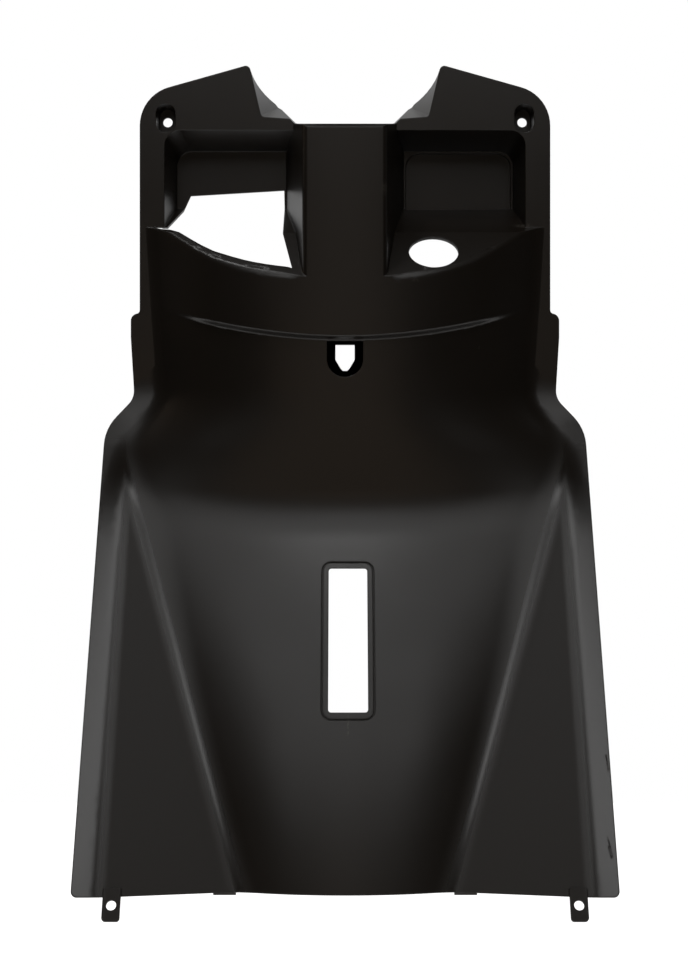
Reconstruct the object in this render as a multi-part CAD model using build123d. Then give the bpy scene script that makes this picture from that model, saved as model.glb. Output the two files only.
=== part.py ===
from build123d import *
import os
from math import cos, radians, sin, sqrt, tan

os.makedirs("parts", exist_ok=True)

# Inner leg shield of a small scooter, injection moulded in one piece.
# Seen from the rider's seat: +X to the right, -Y towards the rider, +Z up.
# "Proud" is a distance in front of the upper frame plane, towards the rider.

# Wall and edges
wall = 3.0
return_lip = 9.0

# Upper frame plane with its two horns
frame_half_width = 195.0
horn_corner_z = 25.7
horn_corner_radius = 38.0
horn_peak_x = 91.0
horn_peak_z = 55.0
horn_peak_radius = 4.5

# Ears of the side flange, and the shoulders of the skirts
ear_step = 8.5
ear_top_z = -183.0
ear_radius = 7.0
shoulder_waist_step = 5.0
shoulder_waist_z = -262.0
shoulder_waist_radius = 18.0
shoulder_z = -291.0
shoulder_radius = 40.0

# Skirts beside the rider's feet
skirt_half_width = 226.0
foot_z = -683.0
foot_corner_radius = 5.0
strip_width = 23.0
skirt_start_z = -263.0
skirt_lean = 27.3
skirt_blend = 24.0
toe_panel_turn = 9.5
strip_round = 8.0

# Hull: the barrel in front of the steering column and the hump below it
hull_proud = 55.0
hull_inset_top = 10.0
hull_inset_waist = 19.5
hull_top_z = -110.0
hull_waist_z = -255.0
hull_flare_height = 60.0
valley_start_inset = 3.0
valley_start_z = -340.0
valley_slope = 0.327
valley_start_round = 6.0
barrel_fullness = 2.6
hump_fullness = 2.1
hump_start_z = -370.0
hump_blend = 22.0
hump_lean_top = 31.0
hump_lean_foot = 21.0
valley_round = 7.0

# Pouch band that stands proud across the top of the barrel
band_proud = 5.0
band_edge_z = -212.0
band_edge_radius = 496.0
band_edge_width = 5.0
band_fade_start = 118.0
band_fade_end = 172.0
rim_round = 11.0

# Steering column cover between the two pockets
column_half_width = 38.5
column_draft = 9.8
column_edge_round = 7.0
column_top_round = 8.0

# Pockets
pocket_inset = 23.5
pocket_top_z = -7.2
pocket_depth = 50.0
pocket_side_draft = 8.0
pocket_ceiling_draft = 12.0
pocket_corner_radius = 15.0
floor_lean = 45.0
floor_datum_z = -94.0
floor_break_proud = 12.0
floor_back_z = -74.0
floor_hole_diameter = 46.0
floor_hole_x = 82.4
floor_hole_proud = 33.5
panel_margin = 2.0
panel_foot_z = -77.2
panel_foot_lean = 3.4
panel_depth = 4.0
panel_radius = 14.0
panel_foot_radius = 2.5

# Cut-out of the left pocket
cut_top_z = -56.0
cut_top_lean = 3.4
cut_corner_inset = 20.5
cut_tip_inset = 2.5
cut_tip_z = -100.0
cut_strip_top = 10.0
cut_strip_foot = 9.0
cut_strip_top_z = -108.0
cut_strip_foot_z = -150.0

# Notch between the horns
notch_floor_x = 48.0
notch_floor_z = -1.2
notch_floor_lean = 12.0
notch_step_x = 52.0
notch_step_z = 3.0
notch_foot_x = 80.3
notch_foot_z = 5.0
notch_foot_radius = 4.0
notch_back_step_x = 61.0
notch_back_step_z = 22.0
notch_back_foot_x = 67.6
notch_back_foot_z = 24.0
notch_back_side_x = 88.0

# Screw wells in the upper corners
screw_inset = 24.6
screw_z = 4.2
well_width = 18.4
well_height = 27.3
well_depth = 20.0
well_draft = 4.0
screw_hole_diameter = 9.2

# Keyhole that drops over a hook, in its U-shaped recess
keyhole_recess_width = 33.0
keyhole_recess_foot_z = -245.0
keyhole_recess_depth = 3.0
keyhole_width = 17.6
keyhole_top_z = -215.5
keyhole_shoulder_z = -229.3
keyhole_foot_z = -239.4
keyhole_foot_width = 8.0

# Access slot in the hump
slot_x = 2.6
slot_width = 34.6
slot_top_z = -419.6
slot_foot_z = -540.6
slot_radius = 2.5
groove_gap = 4.9
groove_width = 1.3
groove_depth = 1.2

# Fixing tabs under the skirts, and the two small clips between them
tab_inset = 34.0
tab_width = 14.8
tab_length = 20.7
tab_root = 6.0
tab_hole_diameter = 8.4
tab_hole_from_end = 13.2
tab_corner_radius = 3.0
clip_x = 100.5
clip_width = 19.0
clip_drop = 2.6
clip_root = 3.0
clip_set_back = 4.0

# Sections of the free-form skin
section_step = 12.0
rim_step = 3.5
rim_foot_z = -170.0
rim_head_z = -124.0
band_step = 1.25
skin_columns = 60
grid_margin = 12.0
flange_sink = 0.6

# Worked out from the sizes above
screw_x = frame_half_width - screw_inset
pocket_outer_x = frame_half_width - pocket_inset
tab_x = skirt_half_width - tab_inset
strip_edge_x = skirt_half_width - strip_width
column_face_proud = hull_proud + band_proud
deep_y = pocket_depth + panel_depth + wall
far = 2 * skirt_half_width


def ramp(t, blend):
    """A slope of one from t = 0 on, rounded over plus and minus blend."""
    if t <= -blend:
        return 0.0
    if t >= blend:
        return t
    return (t + blend) ** 2 / (4 * blend)


def ease(t):
    """A smooth step from 0 to 1."""
    t = min(1.0, max(0.0, t))
    return t * t * (3 - 2 * t)


def rounded_max(a, b, blend):
    """The larger of a and b, with the crease filled over a difference of blend."""
    return b + ramp(a - b, blend)


def strip_proud(z):
    """Outer strip of the skirts: flat with the flange, then leaning out towards the rider."""
    return tan(radians(skirt_lean)) * ramp(skirt_start_z - z, skirt_blend) - flange_sink


def panel_proud(x, z):
    """Toe panel: falls away inwards from the outer strip."""
    inside = strip_edge_x - abs(x)
    return strip_proud(z) - tan(radians(toe_panel_turn)) * ramp(inside, strip_round) * ease(
        (skirt_start_z - z) / hull_flare_height
    )


def hull_centre_proud(z):
    """Centre line of the hull: upright barrel, concave turn, hump that eases towards the foot."""
    t = ramp(hump_start_z - z, hump_blend)
    top, foot = tan(radians(hump_lean_top)), tan(radians(hump_lean_foot))
    return hull_proud + top * t - (top - foot) * t * t / (2 * (hump_start_z - foot_z))


def hull_half_width(z):
    """Where the hull meets the flange or the toe panel."""
    taper = (hull_inset_waist - hull_inset_top) / (hull_top_z - hull_waist_z)
    upper = frame_half_width - hull_inset_waist + taper * (z - hull_waist_z)
    lower = strip_edge_x - valley_start_inset + valley_slope * (z - valley_start_z)
    lower = strip_edge_x - ramp(strip_edge_x - lower, valley_start_round)
    return upper + (lower - upper) * ease((hull_waist_z - z) / hull_flare_height)


def hull_skin_proud(x, z):
    """Hull surface: the section is a full arch between the two side lines."""
    half = hull_half_width(z)
    foot = panel_proud(half, z)
    share = ease((hump_start_z - z) / 120)
    fullness = barrel_fullness + (hump_fullness - barrel_fullness) * share
    rise = hull_centre_proud(z) - foot
    return foot + rise * (1 - (abs(x) / half) ** fullness)


def band_edge(x):
    """Height of the lower edge of the pouch band, an arc that rises to the sides."""
    return band_edge_z + band_edge_radius - sqrt(band_edge_radius**2 - x * x)


def band_rise(x, z):
    fade = 1 - ease((abs(x) - band_fade_start) / (band_fade_end - band_fade_start))
    return band_proud * fade * ease((z - band_edge(x)) / band_edge_width)


def rim_fall(x, z, proud):
    """Roll of the rim beside the column cover, where the pockets' floor cuts the barrel."""
    beside = ease((abs(x) - column_half_width) / 14)
    rim_z = floor_datum_z - proud
    t = min(0.86 * rim_round, max(0.0, z - (rim_z - 0.4 * rim_round)))
    return beside * (rim_round - sqrt(rim_round**2 - t * t))


def skin_proud(x, z):
    hull = hull_skin_proud(x, z) + band_rise(x, z)
    hull -= rim_fall(x, z, hull)
    return rounded_max(hull, panel_proud(x, z), valley_round)


def section_heights():
    """Heights of the skin's sections on the centre line, close together at the band's edge and the rim."""
    band_foot = band_edge_z - 2 * band_step
    band_head = band_edge_z + band_edge_width + 2 * band_step
    stretches = [
        (band_foot, section_step),
        (band_head, band_step),
        (rim_foot_z, section_step),
        (rim_head_z, rim_step),
        (notch_floor_z + grid_margin, section_step),
    ]
    heights = [foot_z - grid_margin]
    for head, step in stretches:
        start = heights[-1]
        count = max(1, round((head - start) / step))
        heights += [start + (head - start) * (row + 1) / count for row in range(count)]
    return heights


def skin_section(height):
    """Spline across the skin, which follows the arc of the band's edge."""
    half = skirt_half_width + grid_margin
    bend = ease((height - hump_start_z) / (band_edge_z - hump_start_z))
    points = []
    for column in range(skin_columns + 1):
        x = half - 2 * half * column / skin_columns
        z = height + bend * (band_edge(x) - band_edge_z)
        points.append(Vector(x, -skin_proud(x, z), z))
    shares = [column / skin_columns for column in range(skin_columns + 1)]
    return Wire([Edge.make_spline(points, parameters=shares)])


def skin_face():
    """Free-form front surface, lofted through its sections."""
    sections = [skin_section(height) for height in section_heights()]
    return Shell.make_loft(sections, ruled=False).faces()[0]


def reach():
    """A distance in front of the frame plane that clears the whole shield."""
    return hull_centre_proud(foot_z - grid_margin) + 4 * section_step


def mirrored(face):
    return face + mirror(face, about=Plane.YZ)


def profile(points, radii):
    """Closed outline in the frame plane with a radius at each corner; 0 leaves it sharp."""
    face = make_face(Polyline(*points, close=True))
    corners = [Vector(*p) for p in points]
    for radius in sorted(set(radii) - {0}):
        picked = [
            v
            for v in face.vertices()
            if any((Vector(v.X, v.Y) - c).length < 0.01 and r == radius for c, r in zip(corners, radii))
        ]
        face = fillet(picked, radius)
    return face


def front_outline():
    """Front view of the whole part, without the notch and the tabs."""
    slope = (horn_peak_z - horn_corner_z) / (frame_half_width - horn_peak_x)
    ear_half_width = frame_half_width + ear_step
    waist_x = frame_half_width + shoulder_waist_step
    right = [
        (0, foot_z, 0),
        (skirt_half_width, foot_z, foot_corner_radius),
        (skirt_half_width, shoulder_z, shoulder_radius),
        (waist_x, shoulder_waist_z, shoulder_waist_radius),
        (ear_half_width, ear_top_z - 3 * ear_radius, 0),
        (ear_half_width, ear_top_z, ear_radius),
        (frame_half_width, ear_top_z + 2, ear_radius / 2),
        (frame_half_width, horn_corner_z, horn_corner_radius),
        (0, horn_corner_z + slope * frame_half_width, 0),
    ]
    points = [(x, z) for x, z, _ in right]
    radii = [r for _, _, r in right]
    half = profile(points, radii)
    return mirrored(half)


def prism(face, y_front, y_back):
    """A face of the front view, run from y_front to y_back."""
    return extrude(Plane((0, y_back, 0), x_dir=(1, 0, 0), z_dir=(0, -1, 0)) * face, y_back - y_front)


def body(skin, outline, inset, back):
    """Solid within the outline less inset, from the front surface set back by back to the deepest plane."""
    face = outline if inset == 0 else offset(outline, -inset)
    height = 2 * (notch_floor_z - foot_z)
    below_notch = Pos(0, notch_floor_z + wall - height / 2) * Rectangle(2 * far, height)
    above_shoulder = Pos(0, horn_peak_z) * Rectangle(2 * far, 2 * (horn_peak_z - shoulder_z))
    block = prism(face & below_notch, -reach(), deep_y)
    free_form = extrude(skin.moved(Location((0, back, 0))), reach() + deep_y, dir=(0, 1, 0))
    return (free_form & block) + prism(face & above_shoulder, back, deep_y)


def behind_lip(skin, outline):
    """Everything behind the return lip, apart from the room for pockets, wells and notch walls."""
    behind = body(skin, outline, 0, return_lip)
    deep_top = screw_z + well_height / 2 + 2 * wall
    deep_foot = floor_datum_z - column_face_proud - 4 * wall
    half = screw_x + well_width / 2 + 2 * wall
    room = Pos(0, (deep_top + deep_foot) / 2) * Rectangle(2 * half, deep_top - deep_foot)
    room &= offset(outline, -wall)
    gusset = make_face(
        Polyline(
            (0, deep_top - wall),
            (0, horn_peak_z - wall),
            (return_lip, horn_peak_z - wall),
            (deep_y, notch_back_foot_z + 2 * wall),
            (deep_y, deep_top - wall),
            close=True,
        )
    )
    behind -= prism(room, -reach(), deep_y)
    return behind - extrude(Plane.YZ * gusset, horn_peak_x + wall, both=True)


def nearest_edge(solid, point):
    """The edge whose middle lies nearest to a point."""
    return min(solid.edges(), key=lambda edge: (edge.center() - Vector(*point)).length)


def pocket(side, grow):
    """Space of one pocket, beside the column cover and in front of its floor."""
    draft = radians(column_draft)
    flank = tan(draft)
    side_slope = tan(radians(pocket_side_draft))
    ceiling_slope = tan(radians(pocket_ceiling_draft))
    back = pocket_depth + grow
    edge_radius = column_edge_round - grow
    tangent = edge_radius * tan((radians(90) - draft) / 2)
    front = grow - skin_proud(column_half_width - column_edge_round, band_edge_z / 2) + 0.1
    inner = column_half_width - grow / cos(draft) + flank * grow
    outer = pocket_outer_x + grow
    open_front = -column_face_proud - 2 * column_edge_round
    points = [
        (inner + flank * (back - front), back),
        (inner, front),
        (inner - tangent - 0.3, front),
        (inner - tangent - 0.3, open_front),
        (far, open_front),
        (far, grow),
        (outer, grow),
        (outer - side_slope * (back - grow), back),
    ]
    plan = profile(points, [edge_radius if point == points[1] else 0 for point in points])
    low = floor_datum_z - 2 * column_face_proud
    high = horn_peak_z + grid_margin
    space = extrude(Pos(0, 0, low) * plan, high - low)
    top = pocket_top_z + grow
    deepest = back + 2 * column_edge_round
    ceiling = make_face(
        Polyline(
            (grow, top),
            (deepest, top - ceiling_slope * (deepest - grow)),
            (deepest, 2 * high),
            (grow, 2 * high),
            close=True,
        )
    )
    space -= extrude(Plane.YZ * ceiling, far, both=True)
    corner = (outer - side_slope * back / 2, back / 2, top - ceiling_slope * back / 2)
    space = fillet(nearest_edge(space, corner), pocket_corner_radius + grow)
    lean = radians(floor_lean)
    break_y = -floor_break_proud
    break_z = floor_datum_z - floor_break_proud
    rear = (floor_back_z - break_z) / (pocket_depth - break_y)
    drop = grow / cos(lean)
    floor_run = 2 * column_face_proud
    floor = make_face(
        Polyline(
            (break_y - floor_run, break_z - floor_run * tan(lean) - drop),
            (break_y, break_z - drop),
            (deepest, break_z + rear * (deepest - break_y) - drop),
            (deepest, foot_z),
            (break_y - floor_run, foot_z),
            close=True,
        )
    )
    space -= extrude(Plane.YZ * floor, far, both=True)
    return space if side > 0 else mirror(space, about=Plane.YZ)


def panel_recess(grow):
    """Shallow recess that fills the back wall of the right pocket; its lower edge leans."""
    inner = column_half_width + tan(radians(column_draft)) * (column_face_proud + pocket_depth) + panel_margin
    outer = pocket_outer_x - tan(radians(pocket_side_draft)) * pocket_depth - panel_margin
    top = pocket_top_z - tan(radians(pocket_ceiling_draft)) * pocket_depth - panel_margin
    lean = tan(radians(panel_foot_lean)) * (outer - inner) / 2
    corners = [
        (inner, panel_foot_z - lean, panel_foot_radius),
        (outer, panel_foot_z + lean, panel_foot_radius),
        (outer, top, panel_radius),
        (inner, top, panel_radius),
    ]
    face = profile([(x, z) for x, z, _ in corners], [r for _, _, r in corners])
    if grow:
        face = offset(face, grow)
    return prism(face, pocket_depth - wall, pocket_depth + panel_depth + grow)


def notch_floor(y):
    return notch_floor_z + tan(radians(notch_floor_lean)) * y


def grown(points, grow):
    """An open outline moved outwards by grow, down and to the right of the way it runs."""
    lines = []
    for (x1, z1), (x2, z2) in zip(points, points[1:]):
        run = sqrt((x2 - x1) ** 2 + (z2 - z1) ** 2)
        normal = ((z2 - z1) / run, (x1 - x2) / run)
        lines.append((normal, normal[0] * x1 + normal[1] * z1 + grow))
    moved = [(points[0][0], points[0][1] - grow)]
    for (n1, c1), (n2, c2) in zip(lines, lines[1:]):
        det = n1[0] * n2[1] - n1[1] * n2[0]
        moved.append(((c1 * n2[1] - c2 * n1[1]) / det, (n1[0] * c2 - n2[0] * c1) / det))
    normal, away = lines[-1]
    moved.append(((away - normal[1] * points[-1][1]) / normal[0], points[-1][1]))
    return moved


def notch_section(y, step, foot, side_x, grow):
    """Section of the notch across the shield; side_x is where its side passes the height of the peaks."""
    high = horn_peak_z + 3 * grid_margin
    slope = (side_x - foot[0]) / (horn_peak_z - foot[1])
    right = [
        (0, notch_floor(y)),
        (notch_floor_x, notch_floor(y)),
        step,
        foot,
        (foot[0] + slope * (high - foot[1]), high),
    ]
    right = grown(right, grow)
    left = [(-x, z) for x, z in reversed(right[1:])]
    points = right[1:] + left
    radii = [notch_foot_radius + grow if abs(p[0]) in (right[1][0], right[3][0]) else 0 for p in points]
    return Plane((0, y, 0), x_dir=(1, 0, 0), z_dir=(0, -1, 0)) * profile(points, radii)


def notch(grow):
    """Space between the horns: its floor rises and its sides close in towards the back."""
    ahead = -2 * column_face_proud
    fall = notch_floor(0) - notch_floor(ahead)
    front = notch_section(
        ahead, (notch_step_x, notch_step_z - fall), (notch_foot_x, notch_foot_z - fall), horn_peak_x, grow
    )
    seam = -wall
    dip = notch_floor(0) - notch_floor(seam)
    middle = notch_section(
        seam, (notch_step_x, notch_step_z - dip), (notch_foot_x, notch_foot_z - dip), horn_peak_x, grow
    )
    behind = deep_y + wall
    share = behind / pocket_depth

    def carried(front_size, back_size):
        return front_size + share * (back_size - front_size)

    back = notch_section(
        behind,
        (carried(notch_step_x, notch_back_step_x), carried(notch_step_z, notch_back_step_z)),
        (carried(notch_foot_x, notch_back_foot_x), carried(notch_foot_z, notch_back_foot_z)),
        carried(horn_peak_x, notch_back_side_x),
        grow,
    )
    return loft([front, middle], ruled=True) + loft([middle, back], ruled=True)


def column_top_cut(grow):
    """What the round on the top edge of the column cover takes away."""
    radius = column_top_round - grow
    lean = radians(notch_floor_lean)
    y = grow - column_face_proud
    z = notch_floor(y) - grow / cos(lean)
    tangent = radius * tan((radians(90) - lean) / 2)
    run = 4 * column_top_round
    wedge = profile(
        [(y, z - run), (y, z), (y + run, z + run * tan(lean)), (y + run, z - run)], [0, radius, 0, 0]
    )
    left, right = y - column_top_round, y + tangent * cos(lean)
    foot, head = z - tangent, z + run
    around = make_face(Polyline((left, foot), (left, head), (right, head), (right, foot), close=True))
    return extrude(Plane.YZ * (around - wedge), notch_floor_x, both=True)


def peak_cut(side):
    """What the round on the tip of a horn takes away."""
    slope = (horn_peak_z - horn_corner_z) / (frame_half_width - horn_peak_x)
    run = 4 * horn_peak_radius
    inward = (horn_peak_x - notch_foot_x) / (horn_peak_z - notch_foot_z)
    points = [
        (horn_peak_x, horn_peak_z),
        (horn_peak_x + run, horn_peak_z - run * slope),
        (horn_peak_x + run, horn_peak_z - run),
        (horn_peak_x - run * inward, horn_peak_z - run),
    ]
    tip = profile(points, [0] * 4) - profile(points, [horn_peak_radius, 0, 0, 0])
    space = prism(tip, -wall, deep_y)
    return space if side > 0 else mirror(space, about=Plane.YZ)


def screw_well(side, grow):
    draft = tan(radians(well_draft))
    mouth = SlotOverall(well_height + 2 * grow, well_width + 2 * grow, rotation=90)
    shrink = 2 * draft * well_depth
    seat = SlotOverall(well_height + 2 * grow - shrink, well_width + 2 * grow - shrink, rotation=90)
    lower = Plane((side * screw_x, 0, screw_z), x_dir=(1, 0, 0), z_dir=(0, -1, 0))
    deeper = Plane((side * screw_x, well_depth + grow, screw_z), x_dir=(1, 0, 0), z_dir=(0, -1, 0))
    return loft([deeper * seat, lower * mouth]) + extrude(lower * mouth, well_depth)


def keep_left():
    """Part of the left pocket's walls that stays: above the cut-out, and a strip along the column's flank."""
    column = column_half_width + tan(radians(column_draft)) * (column_face_proud + pocket_depth) + panel_margin
    corner_x = pocket_outer_x - cut_corner_inset
    fall = tan(radians(cut_top_lean)) * (corner_x - column)
    face = make_face(
        Polyline(
            (0, 2 * horn_peak_z),
            (-far, 2 * horn_peak_z),
            (-far, cut_tip_z),
            (-pocket_outer_x + cut_tip_inset, cut_tip_z),
            (-corner_x, cut_top_z - fall),
            (-column, cut_top_z),
            (-column_half_width - 2 * cut_strip_top, cut_strip_top_z),
            (-column_half_width - cut_strip_foot, cut_strip_foot_z),
            (-column_half_width - cut_strip_foot, foot_z),
            (0, foot_z),
            close=True,
        )
    )
    return prism(face, -reach(), 2 * deep_y)


def keyhole_cut():
    half, foot = keyhole_width / 2, keyhole_foot_width / 2
    toe = foot / 2
    face = make_face(
        Polyline(
            (-half, keyhole_top_z),
            (half, keyhole_top_z),
            (half, keyhole_shoulder_z),
            (foot, keyhole_foot_z + toe),
            (foot - toe, keyhole_foot_z),
            (toe - foot, keyhole_foot_z),
            (-foot, keyhole_foot_z + toe),
            (-half, keyhole_shoulder_z),
            close=True,
        )
    )
    return prism(face, -reach(), 0)


def in_front(face, skin, depth):
    """A face of the front view, from far in front to a depth behind the skin."""
    return prism(face, -reach(), 0) - extrude(skin.moved(Location((0, depth, 0))), reach(), dir=(0, 1, 0))


def keyhole_recess(skin, grow):
    """U-shaped recess round the keyhole, open under the band's edge."""
    height = 2 * (band_edge_z - keyhole_recess_foot_z)
    face = Pos(0, band_edge_z) * SlotOverall(height, keyhole_recess_width, rotation=90)
    face &= Pos(0, band_edge_z - height / 2) * Rectangle(height, height)
    if grow:
        face = offset(face, grow)
    return in_front(face, skin, keyhole_recess_depth + grow)


def slot_outline(gap):
    height = slot_top_z - slot_foot_z
    centre = Pos(slot_x, (slot_top_z + slot_foot_z) / 2)
    return centre * RectangleRounded(slot_width + 2 * gap, height + 2 * gap, slot_radius + gap)


def slot_groove(skin):
    """Fine groove round the access slot."""
    return in_front(slot_outline(groove_gap + groove_width) - slot_outline(groove_gap), skin, groove_depth)


def fixing_tab(side):
    """Tab that carries on down the slope of the skirt's outer strip."""
    lean = radians(skirt_lean)
    top = Vector(side * tab_x, -strip_proud(foot_z + tab_root) + wall, foot_z + tab_root)
    down = Vector(0, -tan(lean), -1).normalized()
    plane = Plane(origin=top, x_dir=(1, 0, 0), z_dir=Vector(1, 0, 0).cross(-down))
    length = tab_length + tab_root / cos(lean)
    face = Pos(0, -length / 2) * Rectangle(tab_width, length)
    face = fillet(face.vertices().sort_by(Axis.Y)[:2], tab_corner_radius)
    face -= Pos(0, -length + tab_hole_from_end) * Circle(tab_hole_diameter / 2)
    return extrude(plane * face, wall)


def clip(side):
    """Small clip that stands below the return lip of the lower edge."""
    back = clip_set_back - skin_proud(clip_x, foot_z)
    height = clip_drop + clip_root
    face = Pos(side * clip_x, foot_z + clip_root - height / 2) * Rectangle(clip_width, height)
    return prism(face, back - wall / 2, back + wall / 2)


def floor_hole():
    lean = radians(floor_lean)
    centre = Vector(floor_hole_x, -floor_hole_proud, floor_datum_z - floor_hole_proud)
    hole = Cylinder(floor_hole_diameter / 2, 6 * wall)
    return Plane(origin=centre, z_dir=Vector(0, -cos(lean), sin(lean))) * hole


skin = skin_face()
outline = front_outline()
outer = body(skin, outline, 0, 0) - notch(0) - column_top_cut(0)
inner = body(skin, outline, wall, wall) - notch(wall) - column_top_cut(wall)
for side in (-1, 1):
    outer -= pocket(side, 0)
    outer -= screw_well(side, 0)
    outer -= peak_cut(side)
    inner -= screw_well(side, wall)
inner -= pocket(1, wall)
inner -= pocket(-1, wall) & keep_left()
outer -= panel_recess(0)
inner -= panel_recess(wall)
outer -= keyhole_recess(skin, 0)
inner -= keyhole_recess(skin, wall)
shield = outer - inner - behind_lip(skin, outline)

for side in (-1, 1):
    shield -= Pos(side * screw_x, 0, screw_z) * Rot(90, 0, 0) * Cylinder(screw_hole_diameter / 2, 4 * deep_y)
shield -= floor_hole()
shield -= prism(slot_outline(0), -reach(), deep_y)
shield -= slot_groove(skin)
shield -= keyhole_cut()
for side in (-1, 1):
    shield += fixing_tab(side)
    shield += clip(side)

shield = shield.moved(Location((0, -well_depth, -screw_z)))
print("solids", len(shield.solids()), [round(s.volume) for s in shield.solids()], shield.is_valid)
export_step(shield, "parts/leg_shield.step")
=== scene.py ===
from math import radians, sqrt, tan

import bmesh
import bpy
from mathutils import Euler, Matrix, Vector


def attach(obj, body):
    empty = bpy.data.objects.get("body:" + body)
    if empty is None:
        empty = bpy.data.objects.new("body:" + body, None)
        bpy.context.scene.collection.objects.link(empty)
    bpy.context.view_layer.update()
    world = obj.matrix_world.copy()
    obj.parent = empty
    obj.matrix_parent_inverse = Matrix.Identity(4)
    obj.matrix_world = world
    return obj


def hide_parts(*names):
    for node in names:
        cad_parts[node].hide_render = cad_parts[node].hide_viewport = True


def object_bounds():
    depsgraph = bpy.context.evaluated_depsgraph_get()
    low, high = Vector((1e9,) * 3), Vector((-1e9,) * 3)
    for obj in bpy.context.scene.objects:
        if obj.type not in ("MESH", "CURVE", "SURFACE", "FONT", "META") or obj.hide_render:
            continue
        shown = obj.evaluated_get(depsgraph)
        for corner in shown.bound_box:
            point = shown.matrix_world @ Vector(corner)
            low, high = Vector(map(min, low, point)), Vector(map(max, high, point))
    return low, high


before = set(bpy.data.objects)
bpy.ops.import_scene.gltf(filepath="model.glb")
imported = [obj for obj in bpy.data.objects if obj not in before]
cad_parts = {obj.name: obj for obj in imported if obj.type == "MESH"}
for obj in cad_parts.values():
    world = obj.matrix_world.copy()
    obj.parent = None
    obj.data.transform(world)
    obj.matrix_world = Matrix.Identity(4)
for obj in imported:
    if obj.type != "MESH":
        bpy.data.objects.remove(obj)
cad_low, cad_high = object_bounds()

# Leg shield: one shell of black polypropylene, 3 mm thick, injection moulded in one shot with its column
# cover, pockets and tabs. It shields the legs on a small scooter, and is screwed on at its upper corners.
#
# Its free-form skin follows one formula, front and back, in millimetres in the part's drawing frame.
# Z is height, X is width, and proud is how far the front stands out of the frame plane, towards -Y.
MM = 0.001
WALL = 3.0
ORIGIN_Y = 20.0
ORIGIN_Z = 4.2
FRAME_HALF_WIDTH = 195.0
FLANGE_SINK = 0.6
STRIP_EDGE = 203.0
STRIP_ROUND = 8.0
FOOT_Z = -683.0
SKIRT_START_Z = -263.0
SKIRT_BLEND = 24.0
SKIRT_SLOPE = tan(radians(27.3))
PANEL_SLOPE = tan(radians(9.5))
HULL_PROUD = 55.0
HULL_TOP_Z = -110.0
HULL_WAIST_Z = -255.0
HULL_INSETS = (10.0, 19.5)
FLARE_HEIGHT = 60.0
VALLEY_X = 200.0
VALLEY_Z = -340.0
VALLEY_SLOPE = 0.327
VALLEY_START_ROUND = 6.0
VALLEY_ROUND = 7.0
HUMP_START_Z = -370.0
HUMP_BLEND = 22.0
HUMP_SLOPES = (tan(radians(31.0)), tan(radians(21.0)))
FULLNESS = (2.6, 2.1)
FULLNESS_REACH = 120
BAND_PROUD = 5.0
BAND_Z = -212.0
BAND_RADIUS = 496.0
BAND_WIDTH = 5.0
BAND_FADE = (118.0, 172.0)
COLUMN_HALF_WIDTH = 38.5
POCKET_FLOOR_Z = -94.0
RIM_ROUND = 11.0
RIM_START = 0.4
RIM_END = 0.86
RIM_FADE = 14


def ramp(t, blend):
    """A slope of one from t = 0 on, rounded over plus and minus blend."""
    if t <= -blend:
        return 0.0
    return t if t >= blend else (t + blend) ** 2 / (4 * blend)


def ease(t):
    """A smooth step from 0 to 1."""
    t = min(1.0, max(0.0, t))
    return t * t * (3 - 2 * t)


def panel_proud(x, z):
    """Outer strip of a skirt, and the toe panel that falls away inwards from it."""
    strip = SKIRT_SLOPE * ramp(SKIRT_START_Z - z, SKIRT_BLEND) - FLANGE_SINK
    fall = PANEL_SLOPE * ramp(STRIP_EDGE - abs(x), STRIP_ROUND)
    return strip - fall * ease((SKIRT_START_Z - z) / FLARE_HEIGHT)


def hull_half_width(z):
    """Where the hull meets the flange or the toe panel."""
    top, waist = HULL_INSETS
    upper = FRAME_HALF_WIDTH - waist + (waist - top) / (HULL_TOP_Z - HULL_WAIST_Z) * (z - HULL_WAIST_Z)
    lower = VALLEY_X + VALLEY_SLOPE * (z - VALLEY_Z)
    lower = STRIP_EDGE - ramp(STRIP_EDGE - lower, VALLEY_START_ROUND)
    return upper + (lower - upper) * ease((HULL_WAIST_Z - z) / FLARE_HEIGHT)


def hull_proud(x, z):
    """Barrel, hump and pouch band, with the rim that rolls into the pockets."""
    t = ramp(HUMP_START_Z - z, HUMP_BLEND)
    top, foot = HUMP_SLOPES
    centre = HULL_PROUD + top * t - (top - foot) * t * t / (2 * (HUMP_START_Z - FOOT_Z))
    half = hull_half_width(z)
    edge = panel_proud(half, z)
    fullness = FULLNESS[0] + (FULLNESS[1] - FULLNESS[0]) * ease((HUMP_START_Z - z) / FULLNESS_REACH)
    proud = edge + (centre - edge) * (1 - (abs(x) / half) ** fullness)
    band_z = BAND_Z + BAND_RADIUS - sqrt(BAND_RADIUS**2 - x * x)
    fade = 1 - ease((abs(x) - BAND_FADE[0]) / (BAND_FADE[1] - BAND_FADE[0]))
    proud += BAND_PROUD * fade * ease((z - band_z) / BAND_WIDTH)
    beside = ease((abs(x) - COLUMN_HALF_WIDTH) / RIM_FADE)
    t = min(RIM_END * RIM_ROUND, max(0.0, z - (POCKET_FLOOR_Z - proud - RIM_START * RIM_ROUND)))
    return proud - beside * (RIM_ROUND - sqrt(RIM_ROUND**2 - t * t))


def skin_proud(x, z):
    """Front of the whole skin: the larger of hull and panel, with the valley between them filled."""
    panel = panel_proud(x, z)
    return panel + ramp(hull_proud(x, z) - panel, VALLEY_ROUND)


# The dressed mesh is denser than the CAD solid's and has the same form, so that light runs evenly over
# the skin. Only triangles on the skin are divided, and their corners are laid on the formula.
FRONT = 1
BACK = 2
SKIN_GAP = 0.4
LEAST_FACING = 0.15
SAME_POINT = 1e-6
NORMAL_STEP = 0.25
COARSE_EDGE = 8.0
FINE_EDGE = 2.6
FINE_REACH = 8.0
SPLIT_PASSES = 6
BAND_ARC_RISE = 1 / (2 * BAND_RADIUS)


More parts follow.
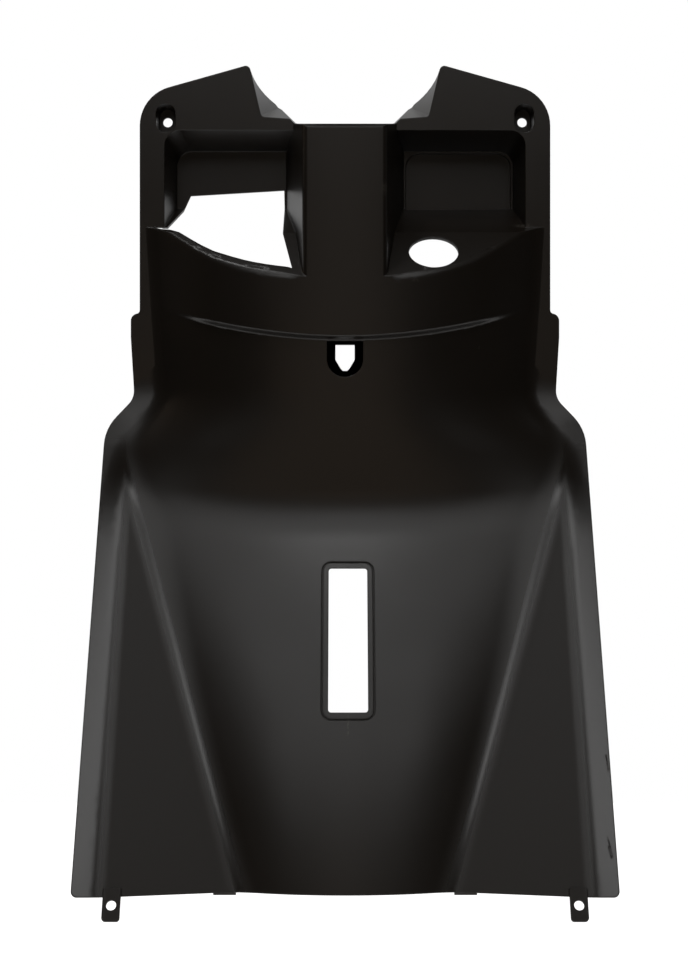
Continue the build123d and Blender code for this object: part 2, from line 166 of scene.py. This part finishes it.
def drawn(point):
    """A point of the shared frame in the part's drawing frame, in millimetres."""
    return point.x / MM, point.y / MM + ORIGIN_Y, point.z / MM + ORIGIN_Z


def depth_behind_skin(vert):
    """How far a corner lies behind the front of the skin."""
    x, y, z = drawn(vert.co)
    return y + skin_proud(x, z)


def longest_allowed(edge):
    """Edges are kept short where the pouch band steps back, and longer on the calm surfaces."""
    x, _, z = drawn((edge.verts[0].co + edge.verts[1].co) / 2)
    from_step = abs(z - BAND_Z - x * x * BAND_ARC_RISE - BAND_WIDTH / 2)
    near_step = from_step < FINE_REACH and abs(x) < BAND_FADE[1]
    return (FINE_EDGE if near_step else COARSE_EDGE) * MM


def lay_on_skin(vert, side):
    """Moves a corner along Y onto the front or the back of the skin."""
    x, _, z = drawn(vert.co)
    vert.co.y = (WALL * (side - FRONT) - skin_proud(x, z) - ORIGIN_Y) * MM


def skin_normal(point, side):
    """The direction out of the front or the back of the skin."""
    x, _, z = drawn(point)
    across = (skin_proud(x + NORMAL_STEP, z) - skin_proud(x - NORMAL_STEP, z)) / (2 * NORMAL_STEP)
    upward = (skin_proud(x, z + NORMAL_STEP) - skin_proud(x, z - NORMAL_STEP)) / (2 * NORMAL_STEP)
    return Vector((across, 1, upward)).normalized() * (1 if side == BACK else -1)


def refined(source, name):
    """A copy of a CAD mesh with the skin's triangles divided and laid on the formula."""
    work = bmesh.new()
    work.from_mesh(source)
    drawn_normal = work.loops.layers.float_vector.new("drawn_normal")
    for face, polygon in zip(work.faces, source.polygons):
        for loop, corner in zip(face.loops, polygon.loop_indices):
            loop[drawn_normal] = source.corner_normals[corner].vector
    bmesh.ops.remove_doubles(work, verts=work.verts, dist=SAME_POINT)
    bmesh.ops.triangulate(work, faces=work.faces)
    side = work.faces.layers.int.new("side")
    gaps = {vert: depth_behind_skin(vert) for vert in work.verts}
    for face in work.faces:
        for mark, depth in ((FRONT, 0.0), (BACK, WALL)):
            on_skin = all(abs(gaps[vert] - depth) < SKIN_GAP for vert in face.verts)
            if on_skin and abs(face.normal.y) > LEAST_FACING:
                face[side] = mark
    for vert in work.verts:
        lay = max((face[side] for face in vert.link_faces), default=0)
        if lay:
            lay_on_skin(vert, lay)
    for _ in range(SPLIT_PASSES):
        edges = [
            edge
            for edge in work.edges
            if any(face[side] for face in edge.link_faces) and edge.calc_length() > longest_allowed(edge)
        ]
        made = bmesh.ops.subdivide_edges(work, edges=edges, cuts=1)["geom_inner"]
        for vert in {item for item in made if isinstance(item, bmesh.types.BMVert)}:
            lay_on_skin(vert, max(face[side] for face in vert.link_faces))
        bmesh.ops.triangulate(work, faces=[face for face in work.faces if len(face.verts) > 3])
    normals = []
    for face in work.faces:
        face.smooth = True
        for loop in face.loops:
            lay = face[side]
            normals.append(skin_normal(loop.vert.co, lay) if lay else loop[drawn_normal].copy())
    mesh = bpy.data.meshes.new(name)
    work.to_mesh(mesh)
    work.free()
    for attribute in ("custom_normal", "drawn_normal", "side"):
        mesh.attributes.remove(mesh.attributes[attribute])
    mesh.normals_split_custom_set(normals)
    return mesh


dense = refined(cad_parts["leg_shield"].data, "leg_shield_moulding")
moulding = bpy.data.objects.new("leg_shield_moulding", dense)
bpy.context.scene.collection.objects.link(moulding)
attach(moulding, "root")
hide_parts("leg_shield")

# Moulded polypropylene: a dark, slightly warm body under a neutral gloss. A fine spark-eroded grain, drawn
# coarser than the real one so that it shows, scatters the gloss. Use has polished the outer strips and the
# ridges beside the toe panels, the toe panels keep their full grain, and a few places are rubbed paler. One
# more pale place, on the rounded corner of the right pocket's outer rim, is a painted highlight.
BLACK_PP = "221D18"
# Pale colour of the rubbed places, also used for one painted highlight.
RUBBED_AND_HIGHLIGHT_PP = "4A4640"
PP_IOR = 1.49
GRAIN_MM = 0.6
GRAIN_HEIGHT_MM = 0.02
GRAIN_STRENGTH = 0.5
CLOUD_MM = 110.0
EDGE_ROUND_MM = 1.5
BEVEL_SAMPLES = 4
ROUGH = (0.30, 0.34)
TOE_PANEL_ROUGH = 0.55
POLISHED = 0.15
RIDGE_HALF_WIDTH_MM = 7.0
STRIP_FADE_MM = (-2, 4)
TOE_PANEL_FADE_MM = (2, 12)
TOE_PANEL_EDGE_MM = (-2, -8)
SKIRT_TOP_M = -0.29
SKIRT_FADE_M = 0.05
FACING_FADE = -0.2
PATCH_MM = 2.5
# Each rubbed place, and the one painted highlight: its middle, and how far it reaches in X, Y and Z, in
# millimetres.
RUBBED_AND_HIGHLIGHT_PLACES = (
    ((36, -60, -77), (4, 40, 9)),
    ((65, -100, -161), (7, 40, 3)),
    # A painted highlight on the rounded corner where the right pocket's rim meets the stile.
    ((170, -10, -102), (12, 60, 3)),
    ((2.6, -150, -556), (1.2, 60, 13)),
    ((124.6, -80, -220.7), (2, 60, 2)),
    ((-212, -120, -570), (1.5, 60, 6)),
)
RUB_AND_HIGHLIGHT_CORE = 0.35
RUB_AND_HIGHLIGHT_PATCHES = (0.38, 0.62)
CLOUD_RANGE = (0.3, 0.7)


def linear(hex_colour):
    """An sRGB hex colour as linear red, green, blue and alpha."""
    channels = [int(hex_colour[i:i + 2], 16) / 255 for i in (0, 2, 4)]
    return [c / 12.92 if c <= 0.04045 else ((c + 0.055) / 1.055) ** 2.4 for c in channels] + [1.0]


def add_node(tree, kind, settings=None, inputs=None, links=None):
    """A node with its settings, its input values and its links, each link as input name: (node, output)."""
    node = tree.nodes.new(kind)
    for name, value in (settings or {}).items():
        setattr(node, name, value)
    for name, value in (inputs or {}).items():
        node.inputs[name].default_value = value
    for name, (source, output) in (links or {}).items():
        tree.links.new(source.outputs[output], node.inputs[name])
    return node


MATH = "ShaderNodeMath"
FADE = "ShaderNodeMapRange"
NOISE = "ShaderNodeTexNoise"
VECTOR = "ShaderNodeVectorMath"
MIX = "ShaderNodeMix"
ABSOLUTE = {"operation": "ABSOLUTE"}
SUBTRACT = {"operation": "SUBTRACT"}
MULTIPLY = {"operation": "MULTIPLY"}
MAXIMUM = {"operation": "MAXIMUM"}
SMOOTH = {"interpolation_type": "SMOOTHSTEP"}
COLOUR_MIX = {"data_type": "RGBA"}
VALUE_MIX = {"data_type": "FLOAT"}
# The colour sockets of a mix node share their names with its value sockets, so they go by number.
COLOUR_A = 6
COLOUR_B = 7
COLOUR_RESULT = 2


def fade_values(start, end, low=0.0, high=1.0):
    """The input values of a fade from low to high while its value goes from start to end."""
    return {"From Min": start, "From Max": end, "To Min": low, "To Max": high}


polypropylene = bpy.data.materials.new("moulded_black_polypropylene")
polypropylene.use_nodes = True
tree = polypropylene.node_tree
shader = tree.nodes["Principled BSDF"]
place = add_node(tree, "ShaderNodeTexCoord")
on_object = {"Vector": (place, "Object")}
axes = add_node(tree, "ShaderNodeSeparateXYZ", links=on_object)
facing = add_node(tree, "ShaderNodeSeparateXYZ", links={"Vector": (place, "Normal")})

# The grain, and a slow change of its depth over the moulding.
fine = {"Scale": 1 / (GRAIN_MM * MM), "Detail": 3.0, "Roughness": 0.6}
grain = add_node(tree, NOISE, None, fine, on_object)
slow = {"Scale": 1 / (CLOUD_MM * MM), "Detail": 4.0, "Roughness": 0.55}
cloud = add_node(tree, NOISE, None, slow, on_object)

# Where things are: beside the middle, below the skirts' top, in front, and across the valley line.
beside = add_node(tree, MATH, ABSOLUTE, {1: 0.0}, {0: (axes, "X")})
valley_offset = (VALLEY_X + VALLEY_SLOPE * (ORIGIN_Z - VALLEY_Z)) * MM
valley_x = add_node(
    tree, MATH, {"operation": "MULTIPLY_ADD"}, {1: VALLEY_SLOPE, 2: valley_offset}, {0: (axes, "Z")}
)
outside = add_node(tree, MATH, SUBTRACT, None, {0: (beside, "Value"), 1: (valley_x, "Value")})
from_ridge = add_node(tree, MATH, ABSOLUTE, {1: 0.0}, {0: (outside, "Value")})
skirt_fade = fade_values(SKIRT_TOP_M, SKIRT_TOP_M - SKIRT_FADE_M)
below = add_node(tree, FADE, SMOOTH, skirt_fade, {"Value": (axes, "Z")})
in_front = add_node(tree, FADE, SMOOTH, fade_values(0.0, FACING_FADE), {"Value": (facing, "Y")})
on_skirts = add_node(tree, MATH, MULTIPLY, None, {0: (below, "Result"), 1: (in_front, "Result")})

# The polished strips and ridges.
strip_fade = fade_values(*[(STRIP_EDGE + reach) * MM for reach in STRIP_FADE_MM])
strip = add_node(tree, FADE, SMOOTH, strip_fade, {"Value": (beside, "Value")})
ridge_fade = fade_values(0.0, RIDGE_HALF_WIDTH_MM * MM, 1.0, 0.0)
ridge = add_node(tree, FADE, SMOOTH, ridge_fade, {"Value": (from_ridge, "Value")})
strip_or_ridge = add_node(tree, MATH, MAXIMUM, None, {0: (strip, "Result"), 1: (ridge, "Result")})
handled = add_node(tree, MATH, MULTIPLY, None, {0: (strip_or_ridge, "Value"), 1: (on_skirts, "Value")})

# The toe panels.
panel_start = fade_values(*[reach * MM for reach in TOE_PANEL_FADE_MM])
panel_inner = add_node(tree, FADE, SMOOTH, panel_start, {"Value": (outside, "Value")})
panel_end = fade_values(*[(STRIP_EDGE + reach) * MM for reach in TOE_PANEL_EDGE_MM])
panel_outer = add_node(tree, FADE, SMOOTH, panel_end, {"Value": (beside, "Value")})
between = add_node(tree, MATH, MULTIPLY, None, {0: (panel_inner, "Result"), 1: (panel_outer, "Result")})
toe_panel = add_node(tree, MATH, MULTIPLY, None, {0: (between, "Value"), 1: (on_skirts, "Value")})

# The rubbed places and the painted highlight, broken up by a patchy noise.
rub_and_highlight = None
for middle, size in RUBBED_AND_HIGHLIGHT_PLACES:
    offset = add_node(
        tree, VECTOR, SUBTRACT, {1: [length * MM for length in middle]}, {0: (place, "Object")}
    )
    scaled = add_node(
        tree, VECTOR, {"operation": "DIVIDE"}, {1: [length * MM for length in size]}, {0: (offset, "Vector")}
    )
    reach = add_node(tree, VECTOR, {"operation": "LENGTH"}, None, {0: (scaled, "Vector")})
    mark = add_node(tree, FADE, SMOOTH, fade_values(RUB_AND_HIGHLIGHT_CORE, 1.0, 1.0, 0.0), {"Value": (reach, "Value")})
    if rub_and_highlight is None:
        rub_and_highlight = (mark, "Result")
    else:
        rub_and_highlight = (add_node(tree, MATH, MAXIMUM, None, {0: rub_and_highlight, 1: (mark, "Result")}), "Value")
broken = {"Scale": 1 / (PATCH_MM * MM), "Detail": 3.0, "Roughness": 0.7}
patchy = add_node(tree, NOISE, None, broken, on_object)
patches = add_node(tree, FADE, SMOOTH, fade_values(*RUB_AND_HIGHLIGHT_PATCHES), {"Value": (patchy, "Fac")})
rubbed_and_highlight = add_node(tree, MATH, MULTIPLY, None, {0: rub_and_highlight, 1: (patches, "Result")})

# Body colour, gloss, grain and rounded edges come together in the shader.
# The pale colour paints the rubbed places and the painted highlight.
colours = {COLOUR_A: linear(BLACK_PP), COLOUR_B: linear(RUBBED_AND_HIGHLIGHT_PP)}
body_colour = add_node(tree, MIX, COLOUR_MIX, colours, {"Factor": (rubbed_and_highlight, "Value")})
clouded = add_node(tree, FADE, SMOOTH, fade_values(*CLOUD_RANGE, *ROUGH), {"Value": (cloud, "Fac")})
rough = add_node(
    tree, MIX, VALUE_MIX, {"B": TOE_PANEL_ROUGH}, {"Factor": (toe_panel, "Value"), "A": (clouded, "Result")}
)
gloss = add_node(
    tree, MIX, VALUE_MIX, {"B": POLISHED}, {"Factor": (handled, "Value"), "A": (rough, "Result")}
)
rounding = add_node(tree, "ShaderNodeBevel", {"samples": BEVEL_SAMPLES}, {"Radius": EDGE_ROUND_MM * MM})
bump = add_node(
    tree,
    "ShaderNodeBump",
    None,
    {"Strength": GRAIN_STRENGTH, "Distance": GRAIN_HEIGHT_MM * MM},
    {"Height": (grain, "Fac"), "Normal": (rounding, "Normal")},
)
shader.inputs["IOR"].default_value = PP_IOR
tree.links.new(body_colour.outputs[COLOUR_RESULT], shader.inputs["Base Color"])
tree.links.new(gloss.outputs["Result"], shader.inputs["Roughness"])
tree.links.new(bump.outputs["Normal"], shader.inputs["Normal"])
moulding.data.materials.append(polypropylene)

# Floor and room: one sheet of matt white paper lies well below the shield, which hangs free as it is
# fitted. The room is white to the camera. What the shield mirrors is dim in front and brighter behind.
FLOOR_GAP = 0.16
FLOOR_SIZE = 2.2
WHITE_PAPER = "F2F2F2"
PAPER_ROUGH = 0.9
WHITE = (1, 1, 1, 1)
FULL_WHITE = 1.0
ROOM_IN_FRONT = 0.012
ROOM_BEHIND = 0.5
ROOM_BEHIND_FROM = 0.6

paper = bpy.data.materials.new("matt_white_paper")
paper.use_nodes = True
tree = paper.node_tree
body = tree.nodes["Principled BSDF"]
body.inputs["Base Color"].default_value = linear(WHITE_PAPER)
body.inputs["Roughness"].default_value = PAPER_ROUGH
seen = add_node(tree, "ShaderNodeLightPath")
seen_or_mirrored = add_node(
    tree, MATH, MAXIMUM, None, {0: (seen, "Is Camera Ray"), 1: (seen, "Is Glossy Ray")}
)
showing = add_node(
    tree, MATH, MAXIMUM, None, {0: (seen_or_mirrored, "Value"), 1: (seen, "Is Transmission Ray")}
)
lift = add_node(tree, "ShaderNodeEmission", inputs={"Color": WHITE, "Strength": FULL_WHITE})
shown = add_node(tree, "ShaderNodeAddShader", links={0: (body, "BSDF"), 1: (lift, "Emission")})
mix = add_node(
    tree, "ShaderNodeMixShader", links={"Fac": (showing, "Value"), 1: (body, "BSDF"), 2: (shown, "Shader")}
)
tree.links.new(mix.outputs["Shader"], tree.nodes["Material Output"].inputs["Surface"])

floor_z = cad_low.z - FLOOR_GAP
bpy.ops.mesh.primitive_plane_add(size=FLOOR_SIZE, location=(0, 0, floor_z))
floor = bpy.context.object
floor.name = "floor"
floor.data.materials.append(paper)

world = bpy.data.worlds.new("studio")
bpy.context.scene.world = world
world.use_nodes = True
tree = world.node_tree
room = tree.nodes["Background"]
room.inputs["Color"].default_value = WHITE
sky = add_node(tree, "ShaderNodeTexCoord")
way = add_node(tree, "ShaderNodeSeparateXYZ", links={"Vector": (sky, "Generated")})
room_fade = fade_values(0.0, ROOM_BEHIND_FROM, ROOM_IN_FRONT, ROOM_BEHIND)
brightness = add_node(tree, FADE, SMOOTH, room_fade, {"Value": (way, "Y")})
tree.links.new(brightness.outputs["Result"], room.inputs["Strength"])
seen = add_node(tree, "ShaderNodeLightPath")
backdrop = add_node(tree, "ShaderNodeBackground", inputs={"Color": WHITE, "Strength": FULL_WHITE})
mix = add_node(
    tree,
    "ShaderNodeMixShader",
    links={"Fac": (seen, "Is Camera Ray"), 1: (room, "Background"), 2: (backdrop, "Background")},
)
tree.links.new(mix.outputs["Shader"], tree.nodes["World Output"].inputs["Surface"])

# Lights: in front above the camera a high lamp, a soft box and a strip light on each side of it, which
# the hump and the skirts mirror. Two weak fills behind the camera show the upright surfaces, a lamp
# overhead on the left shapes the pockets, and a warm lamp stands behind on the left.
AIM = Vector((0, -0.05, -0.37))
DISTANCE = 2.2


def soft_box(name, azimuth, elevation, width, height, power, colour="FFFFFF"):
    """An area light turned to the shield's middle; angles in degrees, sizes in metres, power in watts."""
    data = bpy.data.lights.new(name, "AREA")
    data.shape = "RECTANGLE"
    data.size = width
    data.size_y = height
    data.energy = power
    data.color = linear(colour)[:3]
    lamp = bpy.data.objects.new(name, data)
    bpy.context.scene.collection.objects.link(lamp)
    away = Vector((0, -DISTANCE, 0))
    away.rotate(Euler((radians(-elevation), 0, radians(azimuth))))
    lamp.location = AIM + away
    lamp.rotation_euler = (-away).to_track_quat("-Z", "Y").to_euler()


soft_box("high_lamp", 0, 62, 0.36, 0.36, 3.2)
soft_box("front_soft_box", 0, 41, 0.5, 1.0, 2.2)
soft_box("left_strip_light", -17.5, 40, 0.22, 1.0, 2.0)
soft_box("right_strip_light", 17.5, 40, 0.22, 1.0, 2.0)
soft_box("front_fill", 0, 17, 0.26, 0.7, 0.28, "FFF0E0")
soft_box("room_fill", -4, 3, 1.5, 0.5, 0.85, "FFE2C4")
soft_box("overhead_lamp", -50, 72, 0.3, 0.3, 4.0)
soft_box("warm_back_lamp", -110, 30, 0.4, 0.4, 3.0, "FFE0C0")

# Camera: level with the middle of the shield and square to it, with the lens of the photograph.
CAMERA_DISTANCE = 1.62
CAMERA_X = -0.00095
CAMERA_Z = -0.3439
FOCAL_PIXELS = 1684.2
LONG_SIDE_PIXELS = 960
SENSOR_MM = 36.0

lens = bpy.data.cameras.new("camera")
lens.sensor_width = SENSOR_MM
lens.lens = FOCAL_PIXELS / LONG_SIDE_PIXELS * SENSOR_MM
camera = bpy.data.objects.new("camera", lens)
bpy.context.scene.collection.objects.link(camera)
camera.location = (CAMERA_X, -CAMERA_DISTANCE, CAMERA_Z)
camera.rotation_euler = (radians(90), 0, 0)
bpy.context.scene.camera = camera
bpy.context.scene.view_settings.view_transform = "Standard"
